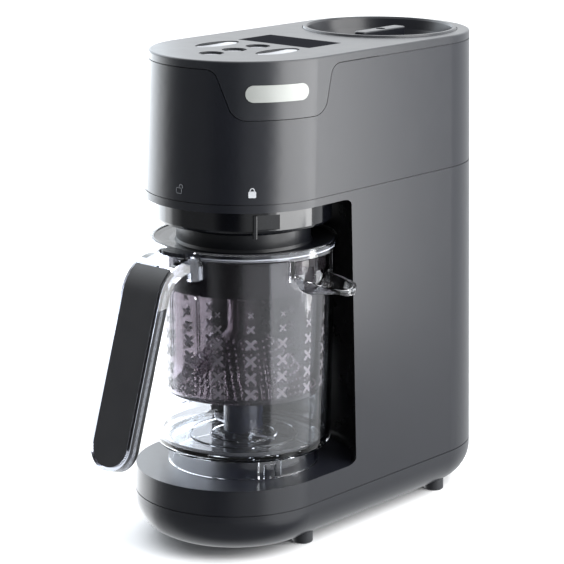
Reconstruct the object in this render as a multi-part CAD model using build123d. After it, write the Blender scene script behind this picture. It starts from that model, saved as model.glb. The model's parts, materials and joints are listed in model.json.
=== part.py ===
from build123d import *
import os
from math import cos, radians, sin

# Baby food maker: a countertop steamer and blender. A C-shaped body carries a top-drive motor,
# a water tank and a boiler, and a clear jug with a steaming basket stands in its bay.
# Millimetres, +Z up, front (the jug side) towards -Y. Parts are drawn about the centre of the
# body's footprint and moved, on export, so that the origin is the middle of the whole
# object's underside.

# ---- body outline: a stadium that narrows upwards ----
WALL = 3.0
SEAM_Z = 30.0              # tray to lower housing
DECK_Z = 46.2              # top of the deck that the jug stands on
BAY_TOP_Z = 216.3          # underside of the head
HOUSING_SEAM_Z = 221.0     # lower to upper housing
PLATE_Z = 301.0            # underside of the top plate
TOP_Z = 306.0
BASE_HALF_WIDTH, TOP_HALF_WIDTH = 62.2, 58.1
BASE_FRONT, TOP_FRONT = -135.0, -121.4
BASE_REAR, TOP_REAR = 135.0, 126.8
SHADOW_GAP = 0.6           # height and depth of the dark line at each seam

# ---- tray and feet ----
TRAY_BOTTOM_Z = 4.0
TRAY_WALL = 2.5
TRAY_ROUNDING = 21.9
FOOT_RADIUS = 6.5
FOOT_PLACES = [(-46, -60), (46, -60), (-46, 76), (46, 76)]
TRAY_SCREW_PLACES = [(-38, -88), (38, -88), (-38, 102), (38, 102)]
CEILING_SCREW_PLACES = [(-49, -33), (49, -33)]
GLAND_END_Y, GLAND_Z = 137.0, 37.0
GLAND_NECK_RADIUS = 4.8

# ---- jug bay ----
JUG_Y = -64.0
BAY_RADIUS = 72.0
BAY_AXIS_BOTTOM_Y, BAY_AXIS_TOP_Y = -63.6, -72.5
BAY_CORNER = 4.0            # rounding where the recess meets the deck and the head
DECK_THICKNESS = 3.0
CEILING_THICKNESS = 3.0

# ---- top plate ----
SLAB_Z = 303.0             # underside of the plate's flat part
WINDOW_SIZE = (58.0, 31.0)
WINDOW_Y = -21.5
BOARD_Z, BOARD_TOP_Z = 290.0, 291.6
OVAL_BUTTON = (16.5, 7.0)  # half length, half width
OVAL_X, OVAL_Y = 24.5, -61.0
ROUND_RADIUS = 6.3
ROUND_BUTTON_YS = {"rear": -51.0, "middle": -72.5, "front": -93.0}
BUTTON_GAP = 0.3
POST_PLACES = [(-30, -96), (30, -96), (-30, -8), (30, -8)]
BADGE_TURN = 59.0          # the badge tab faces this many degrees from the front towards +X
TAB_BOTTOM_Z = 271.4

# ---- water tank, lid and steam circuit ----
TANK_Y = 68.7
TANK_RADIUS = 49.0
SHELF_Z, SHELF_TOP_Z = 200.0, 203.0
TANK_RIM_Z = 302.2
LID_RIM_RADIUS = 50.0
LID_HOLE_RADIUS = 50.4
BAR_TOP_Z = 305.3
BOILER_RADIUS, BOILER_Z, BOILER_TOP_Z = 30.0, 60.0, 106.0
STEAM_PIPE_RADIUS = 4.5
STEAM_RISER = (20.0, 12.0)
STEAM_OUTLET = (20.0, 50.7)
NOZZLE_RADIUS_PLACE = 32.0

# ---- lock ring and drive ----
RING_RADIUS, RING_INNER_RADIUS = 54.8, 52.0
RING_BOTTOM_Z, RING_TOP_Z = 202.0, 215.8
POINTER_BOTTOM_Z = 199.6
LOCKED_ANGLE = -41.3       # pointer's bearing about the jug axis, from +X
RETAINER_RADIUS = 46.0
SHAFT_RADIUS = 4.0
SHAFT_FIT = 0.05
SLEEVE_BOTTOM_Z = 65.3
BLADE_Z, BLADE_THICKNESS = 66.2, 1.4
MOTOR_RADIUS = 26.0

# ---- jug ----
JUG_FOOT_Z = 46.5
JUG_FLOOR_Z, JUG_FLOOR_TOP_Z = 60.0, 62.6
JUG_RIM_Z = 190.2
JUG_RIM_RADIUS = 58.8
FOOT_RING_RADIUS = 47.6
LID_RADIUS = 56.6
LID_TOP_Z = 188.1          # the lid's flat part, inside its raised bead
TAB_HALF_WIDTH, TAB_REACH = 10.6, 66.0
NECK_RADIUS, NECK_TOP_Z = 41.7, 199.2
BASKET_BOTTOM_Z, BASKET_FLANGE_Z, BASKET_TOP_Z = 94.3, 184.8, 186.4
SKIRT_BOTTOM_Z = 161.5
SPOUT_TIP_X = 86.0
SPOUT_RIM_Z = 174.7        # height of the spout's edge where it meets the jug
SPOUT_RISE, SPOUT_RIM_FALL = 7.0, 9.0     # slopes of the trough's underside and edge, degrees
MOUTH_HALF_ANGLE = 17.0
MOUTH_BOTTOM_Z, MOUTH_TOP_Z = 174.6, 184.8
RIB_HALF_WIDTH, RIB_TOP_Z, RIB_BOTTOM_Z = 11.2, 167.0, 125.0
RIB_OFFSET = 2.4           # sideways, towards +X

# ---- handle: a band that arches out from the rim and hangs down ----
ARCH_CENTRE = (66.0, 161.0)   # from the jug axis, height
ARCH_RADIUS = 27.0
HANDLE_SLOPE = 17.0           # degrees from the vertical
HANDLE_LENGTH = 106.0         # straight part
HANDLE_HALF_WIDTH = 16.0
HANDLE_THICKNESS = 8.0
GRIP_HALF_WIDTH = 13.7
GRIP_THICKNESS = 4.0

# ---- origin: the middle of the whole object's underside ----
HANDLE_REACH = (ARCH_CENTRE[0] + ARCH_RADIUS * cos(radians(HANDLE_SLOPE))
                + HANDLE_LENGTH * sin(radians(HANDLE_SLOPE)))
ORIGIN_X = (SPOUT_TIP_X - BASE_HALF_WIDTH) / 2
ORIGIN_Y = (GLAND_END_Y + JUG_Y - HANDLE_REACH) / 2


# ================= shared shapes =================

def at_height(base_value, top_value, z):
    """A body dimension at height z: it changes evenly from the tray seam to the top."""
    return base_value + (top_value - base_value) * (z - SEAM_Z) / (TOP_Z - SEAM_Z)


def outline(z, inset=0.0):
    """The body's stadium outline at height z, set in from the outer surface."""
    half = at_height(BASE_HALF_WIDTH, TOP_HALF_WIDTH, z)
    front = at_height(BASE_FRONT, TOP_FRONT, z) + half
    rear = at_height(BASE_REAR, TOP_REAR, z) - half
    slot = SlotCenterToCenter(rear - front, 2 * (half - inset), rotation=90)
    return Pos(0, (front + rear) / 2, z) * slot


def block(z0, z1, inset=0.0):
    """A slice of the body from z0 to z1."""
    return loft([outline(z0, inset).face(), outline(z1, inset).face()], ruled=True)


def rod(x, y, z0, z1, radius):
    return Pos(x, y, (z0 + z1) / 2) * Cylinder(radius, z1 - z0)


def tube(x, y, z0, z1, outer, inner):
    return rod(x, y, z0, z1, outer) - rod(x, y, z0, z1, inner)


def plate(x0, x1, y0, y1, z0, z1):
    return Pos((x0 + x1) / 2, (y0 + y1) / 2, (z0 + z1) / 2) * Box(x1 - x0, y1 - y0, z1 - z0)


def turned(points, y):
    """A profile of (radius, height) points turned about the vertical axis through (0, y)."""
    profile = Plane.XZ * make_face(Polyline(*points, close=True))
    return Pos(0, y, 0) * revolve(profile, Axis.Z)


def around(shape, y, count, first=0.0):
    """Copies of a shape spaced evenly about the vertical axis through (0, y)."""
    turns = [Pos(0, y, 0) * Rot(0, 0, first + 360 * i / count) * Pos(0, -y, 0) for i in range(count)]
    return [turn * shape for turn in turns]


def joined(shapes):
    """One solid from shapes that touch or overlap, or a group of those that don't."""
    first, *others = shapes
    for other in others:
        first = first + other
    return first


def bay(extra=0.0):
    """The space that the jug stands in: a leaning half-round recess, open to the front."""
    def level(z, axis_y):
        return Pos(0, axis_y, z) * Circle(BAY_RADIUS + extra)
    z0, z1 = DECK_Z - extra, BAY_TOP_Z + extra
    recess = loft([level(z0, BAY_AXIS_BOTTOM_Y).face(), level(z1, BAY_AXIS_TOP_Y).face()])
    recess = fillet(recess.edges().filter_by(GeomType.CIRCLE), BAY_CORNER)
    front = plate(-90, 90, -200, BAY_AXIS_TOP_Y, z0, z1)
    return recess + front


def column_slice(z0, z1):
    """The inside of the column behind the bay, from z0 to z1."""
    return block(z0, z1, WALL) - bay(WALL)


# ================= base =================

def tray_outer():
    slab = extrude(Pos(0, 0, TRAY_BOTTOM_Z - SEAM_Z) * outline(SEAM_Z), SEAM_Z - TRAY_BOTTOM_Z)
    return fillet(slab.edges().group_by(Axis.Z)[0], TRAY_ROUNDING)


def base_tray():
    floor_z = TRAY_BOTTOM_Z + TRAY_WALL
    outer = tray_outer()
    hollow = extrude(Pos(0, 0, floor_z - SEAM_Z) * outline(SEAM_Z, TRAY_WALL), SEAM_Z)
    hollow = fillet(hollow.edges().group_by(Axis.Z)[0], TRAY_ROUNDING - TRAY_WALL)
    tray = outer - hollow
    for x, y in FOOT_PLACES:
        tray += rod(x, y, TRAY_BOTTOM_Z, 14, 8) & outer
        tray -= rod(x, y, 0, 20, 3)
    for x, y in TRAY_SCREW_PLACES:
        tray += rod(x, y, TRAY_BOTTOM_Z, SEAM_Z, 5.5) & outer
        tray -= rod(x, y, 0, 18, 3.6)
        tray -= rod(x, y, 18, SEAM_Z, 1.7)
    for i in range(-3, 4):
        tray -= plate(-16, 16, 9 * i - 1.5, 9 * i + 1.5, 0, 10)
    return tray


def rubber_feet():
    outer = tray_outer()
    feet = []
    for x, y in FOOT_PLACES:
        pad = rod(x, y, 0, 12, FOOT_RADIUS)
        pad = chamfer(pad.edges().group_by(Axis.Z)[0], 0.6) - outer
        feet.append(pad + rod(x, y, 3, 15, 3) + rod(x, y, 14, 16.5, 5))
    return joined(feet)


def tray_screws():
    return joined([rod(x, y, 15.5, 18, 3.4) + rod(x, y, 18, 40, 1.5) for x, y in TRAY_SCREW_PLACES])


def lower_housing():
    shell = block(SEAM_Z, SEAM_Z + SHADOW_GAP, SHADOW_GAP) + block(SEAM_Z + SHADOW_GAP, HOUSING_SEAM_Z)
    shell -= block(SEAM_Z, DECK_Z - DECK_THICKNESS, WALL)
    shell -= bay()
    shell -= block(DECK_Z, HOUSING_SEAM_Z, WALL)
    for x, y in TRAY_SCREW_PLACES:
        shell += rod(x, y, SEAM_Z, DECK_Z - DECK_THICKNESS, 5.5)
        shell -= rod(x, y, SEAM_Z, 40, 1.5)
    for x in (-20, 20):
        for y in (-40, 30):
            shell += rod(x, y, 36, DECK_Z - DECK_THICKNESS, 3)
    return shell - rod_along_y(120, 140, GLAND_NECK_RADIUS)


def bay_liner():
    """The recess's back wall and the head's underside, one moulding inside the lower housing."""
    ceiling_top = BAY_TOP_Z + CEILING_THICKNESS
    liner = (block(DECK_Z, ceiling_top, WALL) & bay(WALL)) - bay()
    liner -= rod(0, JUG_Y, BAY_TOP_Z, ceiling_top, RETAINER_RADIUS)
    for x, y in CEILING_SCREW_PLACES:
        liner -= rod(x, y, BAY_TOP_Z, BAY_TOP_Z + 2, 3.2) + rod(x, y, BAY_TOP_Z, ceiling_top, 1.5)
    for hole in around(rod(49, JUG_Y, 216.9, ceiling_top, 1.3), JUG_Y, 4, 45):
        liner -= hole
    return liner


def rod_along_y(y0, y1, radius):
    return Pos(0, (y0 + y1) / 2, GLAND_Z) * Rot(90, 0, 0) * Cylinder(radius, y1 - y0)


def cord_gland():
    flange = rod_along_y(131, GLAND_END_Y, 6) - block(SEAM_Z, DECK_Z)
    collar = rod_along_y(128.4, 132, 6) & block(SEAM_Z, DECK_Z, WALL)
    neck = rod_along_y(127, GLAND_END_Y, GLAND_NECK_RADIUS)
    return flange + collar + neck - rod_along_y(120, 140, 3.2)


def power_board():
    board = plate(-24, 24, -48, 38, 34.4, 36)
    transformer = plate(-18, 4, -30, -4, 26, 34.4)
    relay = plate(-16, -2, 6, 22, 27, 34.4)
    capacitors = joined([rod(x, y, 24, 34.4, 5) for x, y in ((14, -22), (14, -6))])
    fins = joined([plate(x, x + 1.5, 8, 32, 24, 34.4) for x in (6, 10, 14, 18)])
    return board + transformer + relay + capacitors + fins


# ================= column: boiler and water circuit =================

def boiler_bracket():
    deck = rod(0, TANK_Y, 57, BOILER_Z, 33)
    legs = around(rod(26, TANK_Y, DECK_Z, 57, 4), TANK_Y, 3, 30)
    return joined([deck] + legs)


def boiler():
    body = rod(0, TANK_Y, BOILER_Z, BOILER_TOP_Z, BOILER_RADIUS)
    body = fillet(body.edges().group_by(Axis.Z)[-1], 5)
    for z in (70, 78, 86, 94):
        body -= tube(0, TANK_Y, z, z + 3, BOILER_RADIUS + 1, BOILER_RADIUS - 2.5)
    body += rod(0, TANK_Y, BOILER_TOP_Z, 110, 6.5)
    return body + rod(*STEAM_OUTLET, 100, 112, 6)


def thermostat():
    return rod(-15, TANK_Y + 12, BOILER_TOP_Z, 110, 7) + plate(-18, -12, TANK_Y + 10, TANK_Y + 14, 110, 114)


def water_pipe():
    return tube(0, TANK_Y, 110, 192, 5, 3)


def steam_pipe():
    x, y = STEAM_RISER
    nozzle_y = JUG_Y + NOZZLE_RADIUS_PLACE
    corners = [(*STEAM_OUTLET, 112), (*STEAM_OUTLET, 132), (x, y, 150), (x, y, 240), (0, nozzle_y, 240),
               (0, nozzle_y, 217)]
    route = FilletPolyline(*corners, radius=9)
    start = Plane(origin=route @ 0, z_dir=route % 0)
    return sweep(start * (Circle(STEAM_PIPE_RADIUS) - Circle(STEAM_PIPE_RADIUS - 1.4)), path=route)


def steam_nozzle():
    y = JUG_Y + NOZZLE_RADIUS_PLACE
    body = rod(0, y, 206, 215, 5.5) + rod(0, y, 215, 217, 7.5)
    return body - rod(0, y, 206, 217, 2)


def tank_shelf():
    shelf = column_slice(SHELF_Z, SHELF_TOP_Z)
    return shelf - rod(0, TANK_Y, SHELF_Z, SHELF_TOP_Z, 8) - rod(*STEAM_RISER, SHELF_Z, SHELF_TOP_Z, 5)


def water_tank():
    inner = TANK_RADIUS - 2
    return turned([(4.5, 192), (6.5, 192), (6.5, SHELF_TOP_Z), (TANK_RADIUS, SHELF_TOP_Z), (TANK_RADIUS, 300),
                   (50.1, 300), (50.1, TANK_RIM_Z), (inner, TANK_RIM_Z), (inner, 206), (4.5, 206)], TANK_Y)


def tank_outlet_valve():
    return turned([(1.5, 192), (4.5, 192), (4.5, 206), (7, 206), (6, 209), (1.5, 209)], TANK_Y)


# ================= upper body =================

def tab_area(gap=0.0):
    """The badge tab's outline, seen square on, pushed out through the housing wall."""
    turn = radians(BADGE_TURN)
    facing = Plane(origin=(0, -63.5, 0), x_dir=(cos(turn), sin(turn), 0), z_dir=(sin(turn), -cos(turn), 0))
    edge = FilletPolyline((-70, PLATE_Z), (-33.5, PLATE_Z), (-23.5, TAB_BOTTOM_Z), (36, TAB_BOTTOM_Z),
                          (42, PLATE_Z), (80, PLATE_Z), radius=[7, 10, 10, 8])
    top = Polyline((80, PLATE_Z), (80, TOP_Z), (-70, TOP_Z), (-70, PLATE_Z))
    area = make_face(edge + top)
    if gap:
        area = offset(area, gap)
    return extrude(facing * area, 90)


def upper_housing():
    z0, z1 = HOUSING_SEAM_Z, PLATE_Z
    shell = block(z0, z0 + SHADOW_GAP, SHADOW_GAP) + block(z0 + SHADOW_GAP, z1 - SHADOW_GAP)
    shell += block(z1 - SHADOW_GAP, z1, SHADOW_GAP)
    shell -= block(z0, z1, WALL)
    ceiling_top = BAY_TOP_Z + CEILING_THICKNESS
    for x, y in CEILING_SCREW_PLACES:
        side = 1 if x > 0 else -1
        web = plate(*sorted((x, x + 12 * side)), y - 1.5, y + 1.5, z0, 240)
        post = rod(x, y, ceiling_top, 240, 5) + (web & block(z0, z1, WALL / 2))
        shell += post - rod(x, y, ceiling_top, 236, 1.5)
    return shell - tab_area(0.4)


def housing_screws():
    z = BAY_TOP_Z
    return joined([rod(x, y, z, z + 2, 3.1) + rod(x, y, z + 2, 236, 1.5) for x, y in CEILING_SCREW_PLACES])


def oval(x, y, grow=0.0):
    half_length, half_width = OVAL_BUTTON
    return Pos(x, y) * Ellipse(half_width + grow, half_length + grow)


def round_key(y, grow=0.0):
    return Pos(0, y) * Circle(ROUND_RADIUS + grow)


def key_outlines():
    """Every button's name and a function that draws its outline, grown by a margin."""
    keys = {"button_left": lambda grow: oval(-OVAL_X, OVAL_Y, grow),
            "button_right": lambda grow: oval(OVAL_X, OVAL_Y, grow)}
    for place, y in ROUND_BUTTON_YS.items():
        keys["button_" + place] = lambda grow, y=y: round_key(y, grow)
    return keys


def top_plate():
    slab = block(PLATE_Z, TOP_Z)
    slab = fillet(slab.edges().group_by(Axis.Z)[-1], 1.2)
    slab -= block(PLATE_Z, SLAB_Z, WALL)
    slab += (block(TAB_BOTTOM_Z - 1, PLATE_Z) - block(TAB_BOTTOM_Z - 1, PLATE_Z, WALL)) & tab_area()
    slab -= rod(0, TANK_Y, PLATE_Z, TOP_Z, LID_HOLE_RADIUS)
    for draw in key_outlines().values():
        slab -= extrude(Pos(0, 0, SLAB_Z) * draw(BUTTON_GAP), 5)
        slab -= extrude(Pos(0, 0, TOP_Z - 0.5) * draw(1.3), 1)
    width, depth = WINDOW_SIZE
    slab -= Pos(0, WINDOW_Y, TOP_Z) * Box(width, depth, 2)
    slab -= Pos(0, WINDOW_Y, TOP_Z) * Box(50, 23, 20)
    for x, y in POST_PLACES:
        slab += rod(x, y, BOARD_TOP_Z, SLAB_Z, 2.5)
    return slab


def display_window():
    width, depth = WINDOW_SIZE
    return Pos(0, WINDOW_Y, TOP_Z - 0.55) * Box(width - 0.4, depth - 0.4, 0.9)


def display_module():
    frame = Pos(0, WINDOW_Y, (BOARD_TOP_Z + SLAB_Z) / 2) * Box(54, 26, SLAB_Z - BOARD_TOP_Z)
    return frame + Pos(0, WINDOW_Y, SLAB_Z + 0.9) * Box(49, 22, 2)


def control_board():
    board = plate(-34, 34, -100, -4, BOARD_Z, BOARD_TOP_Z)
    chips = [plate(-8, 8, -45, -33, 288, BOARD_Z), plate(-25, -17, -50, -42, 288.5, BOARD_Z)]
    return joined([board] + chips)


def tactile_switches():
    places = [(-OVAL_X, OVAL_Y), (OVAL_X, OVAL_Y)] + [(0, y) for y in ROUND_BUTTON_YS.values()]
    switches = []
    for x, y in places:
        body = Pos(x, y, BOARD_TOP_Z + 1.75) * Box(6, 6, 3.5)
        switches.append(body + rod(x, y, BOARD_TOP_Z + 3.5, 296.6, 1.75))
    return joined(switches)


def button(draw, x, y):
    """A key: a dished cap, a retaining flange under the plate and a stem to its switch."""
    cap = extrude(Pos(0, 0, SLAB_Z - 0.2) * draw(0), 2.7)
    cap -= Pos(x, y, 305.5 + 88.9) * Sphere(90)
    flange = extrude(Pos(0, 0, SLAB_Z - 1.2) * draw(1.0), 1)
    return cap + flange + rod(x, y, 298, SLAB_Z - 1, 2)


def badge_plate():
    """A blank name plate, set on the tab."""
    turn = radians(BADGE_TURN)
    facing = Plane(origin=(0, -63.5, 0), x_dir=(cos(turn), sin(turn), 0), z_dir=(sin(turn), -cos(turn), 0))
    shape = extrude(facing * Pos(3, 287) * RectangleRounded(40, 10, 4.9), 90)
    skin = block(280, 295, -0.5) - block(280, 295)
    return shape & skin


# ================= tank lid =================

def tank_lid():
    return turned([(0, 276), (35.5, 276), (43.5, 292), (45.9, 292), (45.9, 302.6), (LID_RIM_RADIUS, 302.6),
                   (LID_RIM_RADIUS, 306), (49.2, 307.2), (47.6, 307.2), (46.8, 306), (45.2, 300),
                   (37, 281), (34.5, 278), (0, 278)], TANK_Y)


def lid_finger_bar():
    """The tall bar across the lid's dish; it ends just below the rim and has a round dimple on top."""
    profile = make_face(Polyline((-4.2, 47), (4.2, 47), (5.0, 90.5), (-5.0, 90.5), close=True))
    bar = extrude(Pos(0, 0, 278) * profile, BAR_TOP_Z - 278)
    bar = fillet(bar.edges().filter_by(Axis.Z), 2.5)
    bar = fillet(bar.edges().group_by(Axis.Z)[-1], 1.0)
    return bar - rod(0, 69.7, BAR_TOP_Z - 1.5, BAR_TOP_Z + 1, 3.2)


def tank_lid_gasket():
    return tube(0, TANK_Y, 294, 297, 46.7, 45.9)


# ================= lock ring =================

def lock_ring():
    z, r, inner = RING_BOTTOM_Z, RING_RADIUS, RING_INNER_RADIUS
    sleeve = turned([(inner, z), (r - 1.8, z), (r - 0.7, z + 0.6), (r, z + 2), (r, RING_TOP_Z), (inner, RING_TOP_Z)],
                    JUG_Y)
    bearing = Pos(0, JUG_Y, 0) * Rot(0, 0, LOCKED_ANGLE)
    pointer = bearing * Pos(r - 0.6, 0, POINTER_BOTTOM_Z + 7) * Box(4, 2.6, 14)
    pointer -= rod(0, JUG_Y, 190, 220, r - 1.6)
    recess = Pos(0, JUG_Y, 0) * Rot(0, 0, LOCKED_ANGLE + 9) * Pos(r + 3.8, 0, 209.2) * Box(9.2, 13.6, 9)
    return (sleeve - recess) + fillet(pointer.edges().filter_by(Axis.Z), 0.6)


def bayonet_ring():
    ring = tube(0, JUG_Y, 206, 211.8, RING_INNER_RADIUS, 46.4)
    wedge = tube(0, JUG_Y, 203.3, 206, RING_INNER_RADIUS, 49.6) & plate(40, 60, JUG_Y - 12, JUG_Y + 12, 203, 207)
    return joined([ring] + around(wedge, JUG_Y, 3, 20))


def ring_retainer():
    ceiling_top = BAY_TOP_Z + CEILING_THICKNESS
    r = RETAINER_RADIUS
    body = turned([(7, 212), (r - 3, 212), (r - 3, 203.4), (49.3, 203.4), (49.3, 205.4), (r, 205.4),
                   (r, ceiling_top), (52, ceiling_top), (52, 221.8), (r - 3, 221.8), (r - 3, 215), (7, 215)], JUG_Y)
    body -= rod(0, JUG_Y + NOZZLE_RADIUS_PLACE, 211, 216, 5.5)
    for hole in around(rod(49, JUG_Y, ceiling_top, 222, 1.3), JUG_Y, 4, 45):
        body -= hole
    return body


def retainer_screws():
    screw = rod(49, JUG_Y, 216.9, 221.8, 1.3) + rod(49, JUG_Y, 221.8, 223.8, 2.6)
    return joined(around(screw, JUG_Y, 4, 45))


# ================= drive =================

def motor_bracket():
    disc = rod(0, JUG_Y, 226, 229, 41) - rod(0, JUG_Y, 226, 229, 7)
    disc -= rod(0, JUG_Y + NOZZLE_RADIUS_PLACE, 226, 229, 6)
    legs = around(rod(36, JUG_Y, 215, 226, 3.5), JUG_Y, 4, 45)
    bracket = joined([disc] + legs)
    for hole in around(rod(18, JUG_Y, 226, 229, 1.2), JUG_Y, 4, 45):
        bracket -= hole
    return bracket


def motor_screws():
    screw = rod(18, JUG_Y, 226, 231, 1.2) + rod(18, JUG_Y, 224, 226, 2.4)
    return joined(around(screw, JUG_Y, 4, 45))


def motor_stator():
    bore = SHAFT_RADIUS + SHAFT_FIT
    inner = MOTOR_RADIUS - 2.5
    can = turned([(bore, 229), (MOTOR_RADIUS, 229), (MOTOR_RADIUS, 282), (bore, 282), (bore, 279.5), (inner, 279.5),
                  (inner, 232), (bore, 232)], JUG_Y)
    magnets = tube(0, JUG_Y, 238, 272, inner, 21) & (plate(-30, 30, JUG_Y - 16, JUG_Y + 16, 230, 280))
    can += magnets
    for hole in around(rod(18, JUG_Y, 229, 231, 1.2), JUG_Y, 4, 45):
        can -= hole
    return can


def motor_rotor():
    core = tube(0, JUG_Y, 240, 270, 20, SHAFT_RADIUS)
    for slot in around(plate(15, 22, JUG_Y - 1, JUG_Y + 1, 239, 271), JUG_Y, 12):
        core -= slot
    return core + tube(0, JUG_Y, 233.5, 240, 9, SHAFT_RADIUS)


def motor_shaft():
    return rod(0, JUG_Y, 205.5, 284, SHAFT_RADIUS)


def drive_coupling():
    hub = rod(0, JUG_Y, 205.5, 211, 11) - rod(0, JUG_Y, 205.5, 211, SHAFT_RADIUS)
    dogs = around(plate(5.5, 10.5, JUG_Y - 1.6, JUG_Y + 1.6, 203.4, 205.5), JUG_Y, 6)
    return joined([hub] + dogs)


# ================= jug =================

def beak(inset=0.0, top=SPOUT_RIM_Z):
    """The pouring spout's outer shape, or its hollow: a half-round trough that shallows towards its tip."""
    half = 14.0 - inset
    tip = SPOUT_TIP_X - inset
    plan = Pos((45 + tip) / 2, JUG_Y, 150) * RectangleRounded(tip - 45, 2 * half, half - 0.2)
    column = extrude(plan, 40)
    rounding = Pos(52, JUG_Y, SPOUT_RIM_Z + 1.8) * Rot(0, 90 - SPOUT_RISE, 0) * Cylinder(15.2 - inset, 120)
    below_rim = Pos(52, JUG_Y, top) * Rot(0, SPOUT_RIM_FALL, 0) * Pos(0, 0, -30) * Box(120, 60, 60)
    return column & rounding & below_rim


def jug_body():
    rim, foot, floor = JUG_RIM_RADIUS, FOOT_RING_RADIUS, JUG_FLOOR_TOP_Z
    wall = turned([(0, JUG_FLOOR_Z), (foot - 2.6, JUG_FLOOR_Z), (foot - 2.6, JUG_FOOT_Z), (foot, JUG_FOOT_Z),
                   (foot, 57.4), (48.6, 58.2), (53.2, 59.4), (54.6, 61.4), (55, 64), (57, 184.5), (rim, 186.3),
                   (rim, 189.7), (rim - 0.5, JUG_RIM_Z), (57.3, JUG_RIM_Z), (56.8, 189.7), (56.8, BASKET_FLANGE_Z),
                   (54.5, BASKET_FLANGE_Z), (54.5, 182), (52.4, 66), (50.6, 63.4), (49, floor), (34.5, floor),
                   (34.2, 63.8), (32.8, 63.8), (32.5, floor), (21.5, floor), (21.2, 63.8), (19.8, 63.8),
                   (19.5, floor), (7, floor), (6, 65), (0, 65)], JUG_Y)
    core = turned([(0, 70), (52.5, 70), (54.4, 180), (54.4, BASKET_FLANGE_Z), (56.8, BASKET_FLANGE_Z),
                   (56.8, 192), (0, 192)], JUG_Y)
    sector = Pos(0, JUG_Y, 0) * Rot(0, 0, -MOUTH_HALF_ANGLE - 2.5) * extrude(
        make_face(Line((0, 0), (80, 0)) + CenterArc((0, 0), 80, 0, 2 * MOUTH_HALF_ANGLE + 5)
                  + Line(Vector(80, 0).rotate(Axis.Z, 2 * MOUTH_HALF_ANGLE + 5), (0, 0))), 200)
    throat = rod(0, JUG_Y, 172, 186.3, JUG_RIM_RADIUS) & sector
    mouth_width = 2 * JUG_RIM_RADIUS * sin(radians(MOUTH_HALF_ANGLE))
    mouth_height = MOUTH_TOP_Z - MOUTH_BOTTOM_Z
    mouth = Pos(57, JUG_Y, (MOUTH_BOTTOM_Z + MOUTH_TOP_Z) / 2) * Box(20, mouth_width, mouth_height)
    spout = beak() - beak(2.0, 190)
    jug = wall + (throat - core) + (spout - core)
    jug -= mouth
    jug -= beak(2.0, 181.5) & plate(54, 90, JUG_Y - 20, JUG_Y + 20, 160, 181.5)
    lug = Pos(0, JUG_Y, 0) * Rot(0, 0, -29) * (
        Pos(foot + 0.6, 0, 53) * Box(3, 14.4, 11) - Pos(foot + 1, 0, 51) * Box(4, 7.6, 10))
    jug += lug - rod(0, JUG_Y, 40, 60, foot - 0.8)
    jug -= plate(-TAB_HALF_WIDTH - 0.6, TAB_HALF_WIDTH + 0.6, JUG_Y - 70, JUG_Y - 50, LID_TOP_Z - 0.6, 192)
    return jug + jug_rib()


def jug_rib():
    """A raised arch on the jug's wall behind the handle, with two legs that end in points."""
    half, top, low = RIB_HALF_WIDTH, RIB_TOP_Z, RIB_BOTTOM_Z
    stroke = 1.4
    arch = FilletPolyline((-half, low), (-half, top), (half, top), (half, low), radius=8.5)
    leg_ends = Polyline((half, low), (half - stroke, low + 5), (stroke - half, low + 5), (-half, low))
    inner = FilletPolyline((stroke - half, low), (stroke - half, top - stroke), (half - stroke, top - stroke),
                           (half - stroke, low), radius=7.1)
    opening = make_face(inner + Line(inner @ 1, inner @ 0))
    facing = Plane(origin=(0, JUG_Y, 0), x_dir=(1, 0, 0), z_dir=(0, -1, 0))
    shape = extrude(facing * Pos(RIB_OFFSET, 0) * (make_face(arch + leg_ends) - opening), 80)
    skin = turned([(55, 120), (57, 120), (57.8, 170), (55, 170)], JUG_Y)
    return shape & skin


def handle_path(depth, start, first_angle=90.0):
    """Points and arc of the handle's outer curve moved inwards by depth: (start edge, arc, straight end)."""
    cy, cz = ARCH_CENTRE
    r = ARCH_RADIUS - depth
    slope = radians(HANDLE_SLOPE)
    arc_start = (cy + r * cos(radians(first_angle)), cz + r * sin(radians(first_angle)))
    arc_end = (cy + r * cos(slope), cz + r * sin(slope))
    tip = (arc_end[0] + HANDLE_LENGTH * sin(slope), arc_end[1] - HANDLE_LENGTH * cos(slope))
    arc = CenterArc(ARCH_CENTRE, r, HANDLE_SLOPE, first_angle - HANDLE_SLOPE)
    lead = (start, arc_start[1]) if start is not None else None
    return lead, arc_start, arc, arc_end, tip


def handle_band(depth0, depth1, half_width, start=None, first_angle=90.0, shorten=0.0):
    """A strip of the handle between two depths below its outer face."""
    lead0, begin0, arc0, end0, tip0 = handle_path(depth0, start, first_angle)
    lead1, begin1, arc1, end1, tip1 = handle_path(depth1, start, first_angle)
    slope = radians(HANDLE_SLOPE)
    trim = Vector(-sin(slope), cos(slope)) * shorten
    tip0, tip1 = Vector(*tip0) + trim, Vector(*tip1) + trim
    edges = arc0 + Line(end0, tip0) + Line(tip0, tip1) + Line(tip1, end1) + arc1
    if start is None:
        edges += Line(begin1, begin0)
    else:
        edges += Line(begin0, lead0) + Line(lead0, lead1) + Line(lead1, begin1)
    facing = Plane(origin=(0, JUG_Y, 0), x_dir=(0, -1, 0), z_dir=(-1, 0, 0))
    return extrude(facing * make_face(edges), half_width, both=True)


def tip_corners(band, radius):
    """Round the free lower end of a handle strip."""
    across = Vector(0, -cos(radians(HANDLE_SLOPE)), sin(radians(HANDLE_SLOPE)))
    edges = [e for e in band.edges().filter_by(GeomType.LINE) if abs((e % 0).dot(across)) > 0.999]
    low = sorted(edges, key=lambda e: e.center().Z)[:2]
    return fillet(low, radius)


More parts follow.
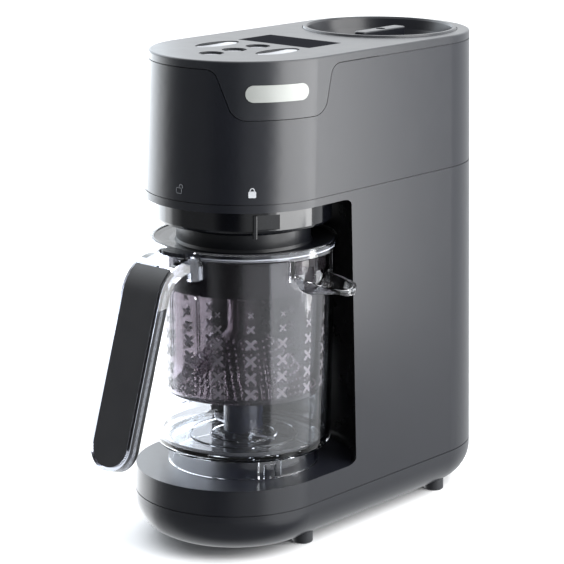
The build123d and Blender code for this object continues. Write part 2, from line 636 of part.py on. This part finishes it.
def handle_frame():
    band = tip_corners(handle_band(0, HANDLE_THICKNESS, HANDLE_HALF_WIDTH, start=54), 15.4)
    channel = tip_corners(handle_band(-1, GRIP_THICKNESS, GRIP_HALF_WIDTH, first_angle=58, shorten=2.3), 13.2)
    gap = plate(-11, 11, JUG_Y - 84.5, JUG_Y - 50, 150, 200)
    gap &= rod(0, JUG_Y, 140, 200, 82.5)
    root = plate(-HANDLE_HALF_WIDTH, HANDLE_HALF_WIDTH, JUG_Y - 64, JUG_Y - 50, 174, 188)
    frame = (band + root) - channel - gap
    inside = rod(0, JUG_Y, 100, 184, 56) + rod(0, JUG_Y, 184, 200, 57.5)
    return frame - inside - jug_body()


def handle_grip():
    grip = handle_band(-0.6, GRIP_THICKNESS, GRIP_HALF_WIDTH, first_angle=58, shorten=2.3)
    return tip_corners(grip, 13.2)


def jug_lid():
    top, r = LID_TOP_Z, LID_RADIUS
    lid = turned([(8, 186), (47.7, 186), (47.7, SKIRT_BOTTOM_Z), (49.2, SKIRT_BOTTOM_Z), (49.2, 187.4), (r, 187.4),
                  (r, 189.9), (r - 0.4, 190.3), (r - 1.2, 190.3), (r - 1.6, 189.7), (52, 188.8), (46, top + 0.1),
                  (42, top), (8, top)], JUG_Y)
    tab = plate(-TAB_HALF_WIDTH, TAB_HALF_WIDTH, JUG_Y - 64, JUG_Y - 54, LID_TOP_Z - 0.4, 190.2)
    tab &= rod(0, JUG_Y, 180, 200, TAB_REACH)
    nose = Pos(0, JUG_Y - 58, 189) * Box(2 * TAB_HALF_WIDTH, 16, 2.4)
    nose = fillet(nose.edges().filter_by(Axis.Z).group_by(Axis.Y)[0], 6)
    lid += (tab + nose) - rod(0, JUG_Y, 180, 200, r - 0.4)
    for hole in around(rod(26, JUG_Y, 185, 191, 4), JUG_Y, 6):
        lid -= hole
    return lid


def lid_neck():
    z, r, top = LID_TOP_Z, NECK_RADIUS, NECK_TOP_Z
    return turned([(38.5, z), (r + 1, z), (r, z + 1.8), (r, top - 0.6), (r - 0.6, top), (15, top), (15, top - 2.5),
                   (38.5, top - 2.5)], JUG_Y)


def lid_seal():
    return tube(0, JUG_Y, BASKET_TOP_Z, 187.4, 56.4, 53.5)


def shaft_bush():
    bore = SHAFT_RADIUS + SHAFT_FIT
    return turned([(bore, 183), (8, 183), (8, LID_TOP_Z), (10.5, LID_TOP_Z), (10.5, 189.9), (bore, 189.9)], JUG_Y)


def steam_basket():
    z, flange, top = BASKET_BOTTOM_Z, BASKET_FLANGE_Z, BASKET_TOP_Z
    basket = turned([(44.8, z), (48.4, z), (49.6, z + 1.5), (52.4, 182.2), (54.4, 183.7), (54.4, flange),
                     (56.6, flange), (56.6, top), (50.8, top), (50.6, 182), (47.8, z + 3.1), (46.2, z + 1.5),
                     (10.9, 129.4), (10, 132), (10, 150), (8, 150), (8, 130.6), (9.6, 127.8)], JUG_Y)
    for radius, count in ((18, 10), (27, 16), (36, 22)):
        for hole in around(rod(radius, JUG_Y, z, 130, 1.6), JUG_Y, count):
            basket -= hole
    for height in (108, 120, 132):
        for slot in around(plate(44, 56, JUG_Y - 1.2, JUG_Y + 1.2, height - 3, height + 3), JUG_Y, 16):
            basket -= slot
    return basket


def blade_shaft():
    return rod(0, JUG_Y, 66, 194.6, SHAFT_RADIUS)


def blade_sleeve():
    """The thick hub round the shaft, moulded over the middle of the blade plate."""
    sleeve = tube(0, JUG_Y, SLEEVE_BOTTOM_Z, 97, 12.4, SHAFT_RADIUS)
    sleeve = fillet(sleeve.edges().group_by(Axis.Z)[-1].sort_by(SortBy.LENGTH)[-1], 1.5)
    return sleeve - blades()


def blades():
    plate_disc = tube(0, JUG_Y, BLADE_Z, BLADE_Z + BLADE_THICKNESS, 9.5, SHAFT_RADIUS)
    outline_points = [(6, -5), (20, -6.5), (33, -1.5), (24, 4), (6, 5)]
    blade = extrude(Pos(0, JUG_Y, BLADE_Z) * make_face(Polyline(*outline_points, close=True)), BLADE_THICKNESS)
    blade -= tube(0, JUG_Y, BLADE_Z - 1, BLADE_Z + 3, 8.5, 0.5)
    return joined([plate_disc] + around(blade, JUG_Y, 2, -10))


def driven_coupling():
    top = NECK_TOP_Z - 2.1
    hub = turned([(0, 194.6), (SHAFT_RADIUS, 194.6), (SHAFT_RADIUS, 190.9), (9.5, 190.9), (11, 193), (11, top),
                  (0, top)], JUG_Y)
    dogs = around(plate(5.5, 10.5, JUG_Y - 1.6, JUG_Y + 1.6, top, NECK_TOP_Z - 0.1), JUG_Y, 6, 30)
    return joined([hub] + dogs)


# ================= write every part =================

PARTS = [base_tray, rubber_feet, tray_screws, lower_housing, bay_liner, cord_gland, power_board, boiler_bracket, boiler,
         thermostat, water_pipe, steam_pipe, steam_nozzle, tank_shelf, water_tank, tank_outlet_valve,
         upper_housing, housing_screws, top_plate, display_window, display_module, control_board,
         tactile_switches, badge_plate, tank_lid, lid_finger_bar, tank_lid_gasket, lock_ring, bayonet_ring,
         ring_retainer, retainer_screws, motor_bracket, motor_screws, motor_stator, motor_rotor, motor_shaft,
         drive_coupling, jug_body, handle_frame, handle_grip, jug_lid, lid_neck, lid_seal, shaft_bush,
         steam_basket, blade_shaft, blade_sleeve, blades, driven_coupling]

KEY_CENTRES = {"button_left": (-OVAL_X, OVAL_Y), "button_right": (OVAL_X, OVAL_Y)}
KEY_CENTRES |= {"button_" + place: (0, y) for place, y in ROUND_BUTTON_YS.items()}

shapes = {make.__name__: make() for make in PARTS}
for key_name, key_draw in key_outlines().items():
    shapes[key_name] = button(key_draw, *KEY_CENTRES[key_name])

os.makedirs("parts", exist_ok=True)
for node, shape in shapes.items():
    export_step(Pos(-ORIGIN_X, -ORIGIN_Y, 0) * shape, f"parts/{node}.step")
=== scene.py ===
import json
from math import cos, pi, radians, sin, sqrt

import bmesh
import bpy
from mathutils import Matrix, Vector


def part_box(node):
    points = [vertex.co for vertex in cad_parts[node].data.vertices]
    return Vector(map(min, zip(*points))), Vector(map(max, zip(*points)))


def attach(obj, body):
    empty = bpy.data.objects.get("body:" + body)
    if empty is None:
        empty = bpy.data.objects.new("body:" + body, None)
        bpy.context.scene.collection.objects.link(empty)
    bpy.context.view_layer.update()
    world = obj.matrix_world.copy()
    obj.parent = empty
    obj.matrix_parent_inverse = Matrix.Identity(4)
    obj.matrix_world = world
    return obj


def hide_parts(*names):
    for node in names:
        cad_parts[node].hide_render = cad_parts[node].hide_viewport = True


# Looks of a baby food maker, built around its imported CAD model. Metres, +Z up, front towards -Y.
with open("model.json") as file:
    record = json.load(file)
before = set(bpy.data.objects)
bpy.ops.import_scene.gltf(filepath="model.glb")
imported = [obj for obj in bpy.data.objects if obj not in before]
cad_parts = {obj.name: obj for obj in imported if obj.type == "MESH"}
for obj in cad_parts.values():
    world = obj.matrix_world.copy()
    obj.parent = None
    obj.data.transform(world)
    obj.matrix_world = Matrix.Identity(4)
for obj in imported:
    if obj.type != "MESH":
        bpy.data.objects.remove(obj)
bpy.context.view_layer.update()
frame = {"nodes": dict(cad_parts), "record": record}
scene = bpy.context.scene
nodes = frame["nodes"]
MM = 0.001
SHARP_ANGLE = radians(35)   # faces that meet at more than this keep a crisp edge


def middle(node):
    low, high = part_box(node)
    return (low + high) / 2


BODY = Vector((middle("base_tray").x, middle("base_tray").y, 0))      # middle of the body's footprint
JUG = Vector((middle("blade_shaft").x, middle("blade_shaft").y, 0))   # the jug's axis

# ---------------------------------------------------------------- materials


class Shader:
    """A Principled material: its colour, roughness and relief come from noise in the object's own space."""

    def __init__(self, name):
        self.material = bpy.data.materials.new(name)
        self.material.use_nodes = True
        self.tree = self.material.node_tree
        self.bsdf = self.tree.nodes["Principled BSDF"]
        self.output = self.tree.nodes["Material Output"]
        self.space = self.add("ShaderNodeTexCoord").outputs["Object"]

    def add(self, kind, **settings):
        node = self.tree.nodes.new(kind)
        for key, value in settings.items():
            setattr(node, key, value)
        return node

    def link(self, a, b):
        self.tree.links.new(a, b)

    def noise(self, scale, detail=3.0, rough=0.55, stretch=None):
        space = self.space
        if stretch:
            mapping = self.add("ShaderNodeMapping")
            mapping.inputs["Scale"].default_value = stretch
            self.link(space, mapping.inputs["Vector"])
            space = mapping.outputs["Vector"]
        node = self.add("ShaderNodeTexNoise")
        node.inputs["Scale"].default_value = scale
        node.inputs["Detail"].default_value = detail
        node.inputs["Roughness"].default_value = rough
        self.link(space, node.inputs["Vector"])
        return node.outputs["Fac"]

    def ranged(self, value, low, high):
        """The noise's middle stretch, spread from low to high."""
        node = self.add("ShaderNodeMapRange")
        node.inputs["From Min"].default_value = 0.3
        node.inputs["From Max"].default_value = 0.7
        node.inputs["To Min"].default_value = low
        node.inputs["To Max"].default_value = high
        self.link(value, node.inputs["Value"])
        return node.outputs["Result"]

    def mottled(self, value, dark, light):
        node = self.add("ShaderNodeMix", data_type="RGBA")
        node.inputs["A"].default_value = (*dark, 1)
        node.inputs["B"].default_value = (*light, 1)
        self.link(self.ranged(value, 0.0, 1.0), node.inputs["Factor"])
        return node.outputs["Result"]

    def relief(self, value, height):
        node = self.add("ShaderNodeBump")
        node.inputs["Strength"].default_value = 1.0
        node.inputs["Distance"].default_value = height * MM
        self.link(value, node.inputs["Height"])
        return node.outputs["Normal"]


def tones(colour, spread):
    """A darker and a lighter tone around a colour."""
    return [c * (1 - spread) for c in colour], [min(1.0, c * (1 + spread)) for c in colour]


def moulded(name, colour, roughness, grain=1500.0, depth=0.012, spread=0.10, wander=0.05, level=0.5,
            metallic=0.0, stretch=None):
    """An opaque moulded, cast or drawn surface: cloudy colour, uneven roughness and a grain depth mm deep."""
    s = Shader(name)
    s.link(s.mottled(s.noise(38.0, 4.0), *tones(colour, spread)), s.bsdf.inputs["Base Color"])
    s.link(s.ranged(s.noise(90.0, 5.0), roughness - wander, roughness + wander), s.bsdf.inputs["Roughness"])
    s.link(s.relief(s.noise(grain, 2.0, 0.6, stretch), depth), s.bsdf.inputs["Normal"])
    for socket, value in (("Metallic", metallic), ("IOR", 1.5), ("Specular IOR Level", level)):
        s.bsdf.inputs[socket].default_value = value
    return s.material


def clear(name, tint, roughness=0.015, ior=1.5, spread=0.012, shade=(0.9, 0.9, 0.92), clarity=1.0):
    """A clear moulding: faint flow ripples, and lamps reach what stands behind it, tinted by shade."""
    s = Shader(name)
    s.link(s.mottled(s.noise(55.0, 3.0), *tones(tint, spread)), s.bsdf.inputs["Base Color"])
    s.link(s.ranged(s.noise(120.0, 4.0), roughness * 0.6, roughness * 1.6), s.bsdf.inputs["Roughness"])
    s.link(s.relief(s.noise(60.0, 2.0, 0.4), 0.004), s.bsdf.inputs["Normal"])
    s.bsdf.inputs["IOR"].default_value = ior
    s.bsdf.inputs["Transmission Weight"].default_value = clarity
    see_through = s.add("ShaderNodeBsdfTransparent")
    see_through.inputs["Color"].default_value = (*shade, 1)
    ray = s.add("ShaderNodeLightPath")
    mix = s.add("ShaderNodeMixShader")
    s.link(ray.outputs["Is Shadow Ray"], mix.inputs["Fac"])
    s.link(s.bsdf.outputs["BSDF"], mix.inputs[1])
    s.link(see_through.outputs["BSDF"], mix.inputs[2])
    s.link(mix.outputs["Shader"], s.output.inputs["Surface"])
    return s.material


# One look for each material slot of the record: how it is made, its colour, its roughness and the rest.
SLOT_LOOKS = {
    "shell_matte": (moulded, (0.0070, 0.0077, 0.0110), 0.29,
                    dict(level=0.46, spread=0.05, wander=0.012, depth=0.008)),
    "bay_satin": (moulded, (0.0022, 0.0023, 0.0028), 0.30, dict(level=0.22)),
    "top_satin": (moulded, (0.0100, 0.0110, 0.0140), 0.30, dict(spread=0.05, wander=0.012, depth=0.008)),
    "gloss_black": (moulded, (0.0020, 0.0022, 0.0032), 0.10,
                    dict(grain=500.0, depth=0.002, wander=0.03, level=0.6)),
    "clear_plastic": (clear, (0.94, 0.955, 0.985), 0.015, dict(ior=1.44)),
    "smoky_plastic": (clear, (0.42, 0.385, 0.405), 0.05,
                      dict(spread=0.10, ior=1.4, shade=(0.5, 0.46, 0.5), clarity=0.99)),
    "lid_dark": (moulded, (0.0050, 0.0055, 0.0080), 0.20,
                 dict(grain=700.0, depth=0.004, wander=0.04, level=0.4)),
    "neck_matte": (moulded, (0.0055, 0.0062, 0.0085), 0.36, dict(level=0.40)),
    "hub_dark": (moulded, (0.0070, 0.0090, 0.0200), 0.22, dict(wander=0.04)),
    "soft_grip": (moulded, (0.0085, 0.0087, 0.0110), 0.36,
                  dict(grain=2200.0, depth=0.03, level=0.4, spread=0.06)),
    "foot_rubber": (moulded, (0.0120, 0.0130, 0.0160), 0.55, dict(grain=1800.0, depth=0.03)),
    "silicone": (moulded, (0.36, 0.37, 0.39), 0.45, dict(depth=0.02)),
    "key_satin": (moulded, (0.36, 0.37, 0.39), 0.30, dict(metallic=0.10, spread=0.03, wander=0.02)),
    "screen_gloss": (moulded, (0.0140, 0.0145, 0.0170), 0.12,
                     dict(grain=400.0, depth=0.001, wander=0.02, level=0.0)),
    "tank_clear": (clear, (0.55, 0.60, 0.66), 0.05, dict(shade=(0.7, 0.75, 0.8))),
    "steel": (moulded, (0.56, 0.56, 0.57), 0.28,
              dict(metallic=1.0, grain=900.0, depth=0.006, stretch=(1, 1, 14))),
    "cast_aluminium": (moulded, (0.62, 0.62, 0.63), 0.45, dict(metallic=1.0, grain=600.0, depth=0.05)),
    "board_green": (moulded, (0.010, 0.060, 0.028), 0.40, dict(grain=800.0, depth=0.02)),
    "badge_metal": (moulded, (0.29, 0.30, 0.285), 0.48,
                    dict(metallic=0.2, spread=0.04, grain=1600.0, depth=0.008)),
}
LOOKS = {name: make(name, colour, roughness, **rest)
         for name, (make, colour, roughness, rest) in SLOT_LOOKS.items()}
FROSTED = clear("frosted_smoky", (0.21, 0.19, 0.205), roughness=0.45, spread=0.15, ior=1.4, clarity=0.55)
# Pale dots on the basket's cone: painted highlights that stand in for the sparkle around the floor holes.
PAINTED_GLINT_LOOK = moulded("painted_glint", (0.85, 0.80, 0.85), 0.15, grain=900.0, depth=0.01)
CLEAR_HANDLE = clear("clear_handle", (0.70, 0.73, 0.82), ior=1.47)
MARK_PALE = moulded("mark_pale", (0.42, 0.43, 0.45), 0.45, grain=2000.0)
MARK_DIM = moulded("mark_dim", (0.10, 0.105, 0.115), 0.45, grain=2000.0)
MARK_INK = moulded("mark_ink", (0.04, 0.04, 0.05), 0.5, grain=2000.0)


def dress(obj, look):
    obj.data.materials.clear()
    obj.data.materials.append(look)


for part in frame["record"]["subparts"]:
    dress(nodes[part["node"]], LOOKS[part["material_slot"]])
dress(nodes["handle_frame"], CLEAR_HANDLE)

# ---------------------------------------------------------------- mesh helpers


def shade_smooth(mesh):
    for face in mesh.polygons:
        face.use_smooth = True
    mesh.set_sharp_from_angle(angle=SHARP_ANGLE)


def as_object(name, bm):
    """A closed bmesh, handed over as an object of its own."""
    mesh = bpy.data.meshes.new(name)
    bmesh.ops.recalc_face_normals(bm, faces=bm.faces)
    bm.to_mesh(mesh)
    bm.free()
    obj = bpy.data.objects.new(name, mesh)
    scene.collection.objects.link(obj)
    return obj


def mesh_object(name, bm, look, body):
    """A finished mesh as a piece that rides on a CAD body."""
    obj = as_object(name, bm)
    shade_smooth(obj.data)
    obj.data.materials.append(look)
    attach(obj, body)
    return obj


def revolved(bm, profile, centre, segments):
    """Turns a closed (radius, height) profile in millimetres about the vertical axis through centre."""
    rings = []
    for k in range(segments):
        a = 2 * pi * k / segments
        rings.append([bm.verts.new((centre.x + r * MM * cos(a), centre.y + r * MM * sin(a), z * MM))
                      for r, z in profile])
    count = len(profile)
    for k in range(segments):
        here, there = rings[k], rings[(k + 1) % segments]
        for i in range(count):
            j = (i + 1) % count
            bm.faces.new((here[i], there[i], there[j], here[j]))


def prism(bm, outline, depth0, depth1, place):
    """A prism on a closed 2-D outline (millimetres), from depth0 to depth1 along the place's own z."""
    low = [bm.verts.new(place @ Vector((x * MM, y * MM, depth0 * MM))) for x, y in outline]
    high = [bm.verts.new(place @ Vector((x * MM, y * MM, depth1 * MM))) for x, y in outline]
    count = len(outline)
    for i in range(count):
        j = (i + 1) % count
        bm.faces.new((low[i], low[j], high[j], high[i]))
    bm.faces.new(low[::-1])
    bm.faces.new(high)


def bearing(angle):
    """The level direction at angle, in degrees from the front towards +X."""
    return Vector((sin(radians(angle)), -cos(radians(angle)), 0))


def facing(centre, angle, z):
    """A frame on the axis at height z (millimetres): its own z looks outwards along a bearing."""
    a = radians(angle)
    out = bearing(angle)
    across = Vector((cos(a), sin(a), 0))
    turn = Matrix((across, Vector((0, 0, 1)), out)).transposed().to_4x4()
    return Matrix.Translation((centre.x, centre.y, z * MM)) @ turn


def carve(obj, cutter_bm):
    """Cuts the cutter's shapes out of a piece."""
    cutter = as_object("cutter", cutter_bm)
    boolean = obj.modifiers.new("carve", "BOOLEAN")
    boolean.operation = "DIFFERENCE"
    boolean.solver = "MANIFOLD"
    boolean.object = cutter
    bpy.context.view_layer.update()
    carved = bpy.data.meshes.new_from_object(obj.evaluated_get(bpy.context.evaluated_depsgraph_get()))
    obj.modifiers.clear()
    obj.data = carved
    bpy.data.objects.remove(cutter)
    shade_smooth(carved)


# ---------------------------------------------------------------- steaming basket

# Millimetres, about the jug's axis. The wall leans outwards, and the floor rises in a cone to the hub.
BASKET_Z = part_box("steam_basket")[0].z / MM
FLANGE_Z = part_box("steam_basket")[1].z / MM
WALL_RADIUS, WALL_LEAN = 49.7, 0.031
CONE_FOOT, CONE_HEAD, CONE_TOP_Z = 46.2, 10.9, 129.4
FLOOR_SKIN = 1.5
BASKET_SEGMENTS = 176
CROSS_COLUMNS, CROSS_TURN, CROSS_WIDTH = 16, 1.6, 0.42             # width as a share of the reach
CROSS_ROWS = [(101.7, 4.6), (112.2, 4.6), (122.7, 4.6), (133.2, 4.4), (142.8, 3.2), (151.7, 2.2)]
HOLE_RINGS, FIRST_RING, RING_PITCH = 10, 14, 3.1
HOLE_PITCH, HOLE_RADIUS = 4.2, 1.05
# Pale dots beside the floor holes, painted highlights: their radius, and how far each sits outwards from its
# hole.
PAINTED_GLINT_RADIUS, PAINTED_GLINT_OUTSET = 0.6, 1.75


def cross_outline(reach, width):
    """An X with rounded arm ends."""
    points = []
    for arm in range(4):
        a = radians(45 + 90 * arm)
        tip = reach - width / 2
        for k in range(5):
            b = a - pi / 2 + pi * k / 4
            points.append((tip * cos(a) + width / 2 * cos(b), tip * sin(a) + width / 2 * sin(b)))
        corner = a + pi / 4
        points.append((width / sqrt(2) * cos(corner), width / sqrt(2) * sin(corner)))
    return points


def spot(distance, angle, radius, sides):
    """A small round outline at a distance from the axis."""
    x, y = distance * cos(angle), distance * sin(angle)
    corners = [2 * pi * i / sides for i in range(sides)]
    return [(x + radius * cos(a), y + radius * sin(a)) for a in corners]


def basket_profile():
    """The basket's section: wall and flange outside, then back inside, down the cone and up the hub tube."""
    z, top = BASKET_Z, FLANGE_Z
    outside = [(44.8, z), (48.0, z), (49.0, z + 0.4), (49.6, z + 1.5), (50.6, z + 30), (51.5, z + 60),
               (52.4, 182.2), (54.2, 183.7), (54.2, top - 1.6), (56.4, top - 1.6), (56.4, top)]
    inside = [(50.8, top), (50.6, 182), (49.7, z + 60), (48.8, z + 30), (47.8, z + 3.1),
              (CONE_FOOT, z + FLOOR_SKIN), (34, 107.6), (22, 119.0), (CONE_HEAD, CONE_TOP_Z)]
    hub = [(10, 132), (10, 150), (8, 150), (8, 130.6)]
    underside = [(9.6, 127.8), (22, 116.0), (34, 104.6)]
    return outside + inside + hub + underside


def build_basket():
    bm = bmesh.new()
    revolved(bm, basket_profile(), JUG, BASKET_SEGMENTS)
    basket = mesh_object("basket_tinted", bm, LOOKS["smoky_plastic"], "jug")
    cuts, frosted, painted_glints = bmesh.new(), bmesh.new(), bmesh.new()
    for column in range(CROSS_COLUMNS):
        for height, reach in CROSS_ROWS:
            place = facing(JUG, 360 / CROSS_COLUMNS * column + CROSS_TURN, height)
            width = CROSS_WIDTH * reach
            prism(cuts, cross_outline(reach, width), 45.5, 56, place)
            wall = WALL_RADIUS + WALL_LEAN * (height - BASKET_Z)
            prism(frosted, cross_outline(reach - 0.06, width - 0.12), wall - 1.0, wall - 0.1, place)
    upright = Matrix.Translation((JUG.x, JUG.y, 0))
    floor_z = BASKET_Z + FLOOR_SKIN
    slope = (CONE_TOP_Z - floor_z) / (CONE_FOOT - CONE_HEAD)
    for ring in range(HOLE_RINGS):
        radius = FIRST_RING + RING_PITCH * ring
        count = int(2 * pi * radius / HOLE_PITCH)
        for k in range(count):
            a = 2 * pi * (k + 0.5 * (ring % 2)) / count
            prism(cuts, spot(radius, a, HOLE_RADIUS, 8), BASKET_Z + 0.2, 130, upright)
            # Beside each hole, a pale dot sits on the cone as a painted highlight.
            lip = radius + PAINTED_GLINT_OUTSET
            top_here = floor_z + (CONE_FOOT - lip) * slope
            prism(painted_glints, spot(lip, a, PAINTED_GLINT_RADIUS, 6), top_here - 0.2, top_here + 0.9, upright)
    carve(basket, cuts)
    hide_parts("steam_basket")
    mesh_object("basket_frosting", frosted, FROSTED, "jug")
    mesh_object("basket_painted_glints", painted_glints, PAINTED_GLINT_LOOK, "jug")


build_basket()

# ---------------------------------------------------------------- printed marks

# Millimetres. Going up, the head's wall leans in and the jug's wall leans out.
HEAD_LEAN = 0.0148
PADLOCK_Z = 227.6
JUG_RADIUS, JUG_FOOT_Z, JUG_LEAN = 54.6, 61, 0.0166
SCALE_BEARING = -98.0
CORNER_STEPS = 5


def rounded(width, height, radius):
    """A rectangle with round corners."""
    points = []
    for cx, cy, start in ((width / 2, height / 2, 0), (-width / 2, height / 2, 90),
                          (-width / 2, -height / 2, 180), (width / 2, -height / 2, 270)):
        for k in range(CORNER_STEPS + 1):
            a = radians(start + 90 * k / CORNER_STEPS)
            points.append((cx - radius * (1 if cx > 0 else -1) + radius * cos(a),
                           cy - radius * (1 if cy > 0 else -1) + radius * sin(a)))
    return points


def strip(points, width, closed=False):
    """Quads along a 2-D line, each a small outline of its own."""
    pieces = []
    last = len(points) if closed else len(points) - 1
    for i in range(last):
        (x0, y0), (x1, y1) = points[i], points[(i + 1) % len(points)]
        length = sqrt((x1 - x0) ** 2 + (y1 - y0) ** 2)
        nx, ny = (y0 - y1) / length * width / 2, (x1 - x0) / length * width / 2
        pieces.append([(x0 + nx, y0 + ny), (x0 - nx, y0 - ny), (x1 - nx, y1 - ny), (x1 + nx, y1 + ny)])
    return pieces


def shackle(x, y, radius, leg):
    """A padlock's bow, from its right foot over to its left foot."""
    arc = [(x + radius * cos(a), y + leg + radius * sin(a)) for a in (pi * k / 8 for k in range(9))]
    return [(x + radius, y)] + arc + [(x - radius, y)]


def padlock(name, angle, closed):
    """A small printed padlock on the head's rounded front, above the lock ring."""
    low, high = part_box("upper_housing")
    radius = (high.x - low.x) / 2
    centre = Vector(((high.x + low.x) / 2, low.y + radius, 0))
    surface = radius / MM - HEAD_LEAN * (PADLOCK_Z - low.z / MM)
    place = facing(centre, angle, PADLOCK_Z)
    bm = bmesh.new()
    outlines = strip(shackle(0, 1.6, 1.25, 0.9) if closed else shackle(1.55, 1.6, 1.15, 1.1), 0.55)
    if closed:
        outlines.append(rounded(4.6, 3.9, 0.6))
    else:
        outlines += strip(rounded(3.9, 3.3, 0.5), 0.42, closed=True)
    for outline in outlines:
        prism(bm, outline, surface - 0.25, surface + 0.06, place)
    mesh_object(name, bm, MARK_PALE if closed else MARK_DIM, "base")


padlock("mark_padlock_closed", 48.0, True)
padlock("mark_padlock_open", 3.0, False)


def scale_mark(value, height):
    """A volume number and its line, printed on the jug's outer wall and read through the clear plastic."""
    radius = JUG_RADIUS + JUG_LEAN * (height - JUG_FOOT_Z)
    inwards = Matrix.Rotation(pi, 4, "Y")
    place = facing(JUG, SCALE_BEARING, height) @ Matrix.Translation((0, 0, (radius + 0.5) * MM)) @ inwards
    line = bmesh.new()
    prism(line, [(x - 5.6, y) for x, y in rounded(4.0, 0.45, 0.2)], 0.0, 0.2, place)
    mesh_object("scale_line_" + value, line, MARK_INK, "jug")
    curve = bpy.data.curves.new("scale_number_" + value, "FONT")
    curve.body = value
    curve.size = 3.6 * MM
    curve.extrude = 0.06 * MM
    curve.align_x = "CENTER"
    curve.align_y = "CENTER"
    obj = bpy.data.objects.new("scale_number_" + value, curve)
    scene.collection.objects.link(obj)
    obj.matrix_world = place @ Matrix.Translation((0, 0, 0.1 * MM))
    curve.materials.append(MARK_INK)
    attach(obj, "jug")


for value, height in (("50", 71.0), ("100", 78.0), ("150", 85.0), ("200", 92.0)):
    scale_mark(value, height)

# ---------------------------------------------------------------- studio

floor_bm = bmesh.new()
bmesh.ops.create_grid(floor_bm, x_segments=24, y_segments=24, size=9.0)
floor_mesh = bpy.data.meshes.new("studio_floor")
floor_bm.to_mesh(floor_mesh)
floor_bm.free()
floor = bpy.data.objects.new("studio_floor", floor_mesh)
scene.collection.objects.link(floor)
floor_mesh.materials.append(moulded("floor_pale", (0.90, 0.90, 0.905), 0.75, grain=300.0, spread=0.004,
                                    level=0.1))
floor.visible_glossy = False      # mirrors and clear walls see the surroundings below, not a second floor
floor.visible_shadow = False
floor.visible_transmission = False

CAMERA_YAW, CAMERA_PITCH, CAMERA_ROLL = 40.652, 13.742, 0.283      # degrees
CAMERA_PLACE = Vector((0.9131, -1.0907, 0.4961))                   # from the middle of the footprint
CAMERA_LENS = 145.25
BOUNCES = 24

# A white studio: bright behind and overhead, dark on the side the picture is taken from.
world = bpy.data.worlds.new("studio")
scene.world = world
world.use_nodes = True
wt = world.node_tree


def world_node(kind, *inputs, **settings):
    node = wt.nodes.new(kind)
    for key, value in settings.items():
        setattr(node, key, value)
    for socket, value in inputs:
        if hasattr(value, "node"):
            wt.links.new(value, node.inputs[socket])
        else:
            node.inputs[socket].default_value = value
    return node


def world_range(value, low, high, to_low=0.0, to_high=1.0):
    node = world_node("ShaderNodeMapRange", ("Value", value), ("From Min", low), ("From Max", high),
                      ("To Min", to_low), ("To Max", to_high), interpolation_type="SMOOTHSTEP")
    return node.outputs["Result"]


direction = world_node("ShaderNodeTexCoord").outputs["Generated"]
rise = world_node("ShaderNodeSeparateXYZ", ("Vector", direction)).outputs["Z"]


def towards(angle, low, high, amount):
    """A soft patch of the surroundings around a bearing: nothing at the cosine low, all of it at high."""
    dot = world_node("ShaderNodeVectorMath", (0, direction), (1, bearing(angle)), operation="DOT_PRODUCT")
    return world_range(dot.outputs["Value"], low, high, 0.0, amount)


def world_math(operation, a, b):
    return world_node("ShaderNodeMath", (0, a), (1, b), operation=operation).outputs["Value"]


behind = towards(-139.35, -0.30, 0.35, 1.0)
overhead = world_range(rise, 0.68, 0.92, 0.0, 0.8)
upper = world_math("ADD", world_range(rise, 0.25, 0.45, 1.45, 2.6),
                   world_range(rise, 0.06, 0.0, 0.0, -0.37))
bright = world_math("MULTIPLY", world_math("MAXIMUM", behind, overhead), upper)
front = world_math("ADD", towards(68.0, 0.80, 0.96, 0.40), 0.26)
front = world_math("SUBTRACT", front, towards(23.0, 0.90, 0.975, 0.24))
below = world_range(rise, 0.0, -0.06)
low_right = world_math("MULTIPLY", towards(106.0, 0.80, 0.86, 2.3), below)
low_left = world_math("MULTIPLY", towards(-100.0, 0.72, 0.86, 3.6), below)
strength = world_math("MAXIMUM", world_math("MAXIMUM", bright, front),
                      world_math("MAXIMUM", low_right, low_left))
backdrop = wt.nodes["Background"]
backdrop.inputs["Color"].default_value = (0.95, 0.975, 1.0, 1)
wt.links.new(strength, backdrop.inputs["Strength"])


def card(name, centre, facing_to, width, height, radiance, tint=(1, 1, 1)):
    """A soft rectangular light at centre that faces a point."""
    light = bpy.data.lights.new(name, "AREA")
    light.shape = "RECTANGLE"
    light.size, light.size_y = width, height
    light.energy = radiance * pi * width * height
    light.color = tint
    obj = bpy.data.objects.new(name, light)
    obj.location = BODY + Vector(centre)
    obj.rotation_euler = (Vector(centre) - Vector(facing_to)).to_track_quat("Z", "Y").to_euler()
    obj.visible_camera = False
    scene.collection.objects.link(obj)


card("card_right", (0.45, 0.06, 0.58), (0.0, 0.06, 0.58), 0.38, 0.96, 5.8)
card("card_side", (0.45, 0.345, 0.53), (0.0, 0.345, 0.53), 0.19, 1.06, 6.5)
card("card_left", (-0.75, 0.20, 0.47), (0.0, 0.20, 0.47), 0.90, 1.00, 1.6, (0.80, 0.90, 1.0))

# ---------------------------------------------------------------- camera

camera_data = bpy.data.cameras.new("camera")
camera_data.lens = CAMERA_LENS
camera_data.sensor_width = 36.0
camera = bpy.data.objects.new("camera", camera_data)
scene.collection.objects.link(camera)
yaw, pitch, roll = radians(CAMERA_YAW), radians(CAMERA_PITCH), radians(CAMERA_ROLL)
look = Vector((-sin(yaw) * cos(pitch), cos(yaw) * cos(pitch), -sin(pitch)))
right = Vector((cos(yaw), sin(yaw), 0))
up = right.cross(look)
right_rolled = right * cos(roll) + up * sin(roll)
up_rolled = up * cos(roll) - right * sin(roll)
turn = Matrix((right_rolled, up_rolled, -look)).transposed().to_4x4()
camera.matrix_world = Matrix.Translation(BODY + CAMERA_PLACE) @ turn
scene.camera = camera
scene.view_settings.view_transform = "Standard"
scene.cycles.max_bounces = BOUNCES
scene.cycles.transmission_bounces = BOUNCES
scene.cycles.transparent_max_bounces = BOUNCES
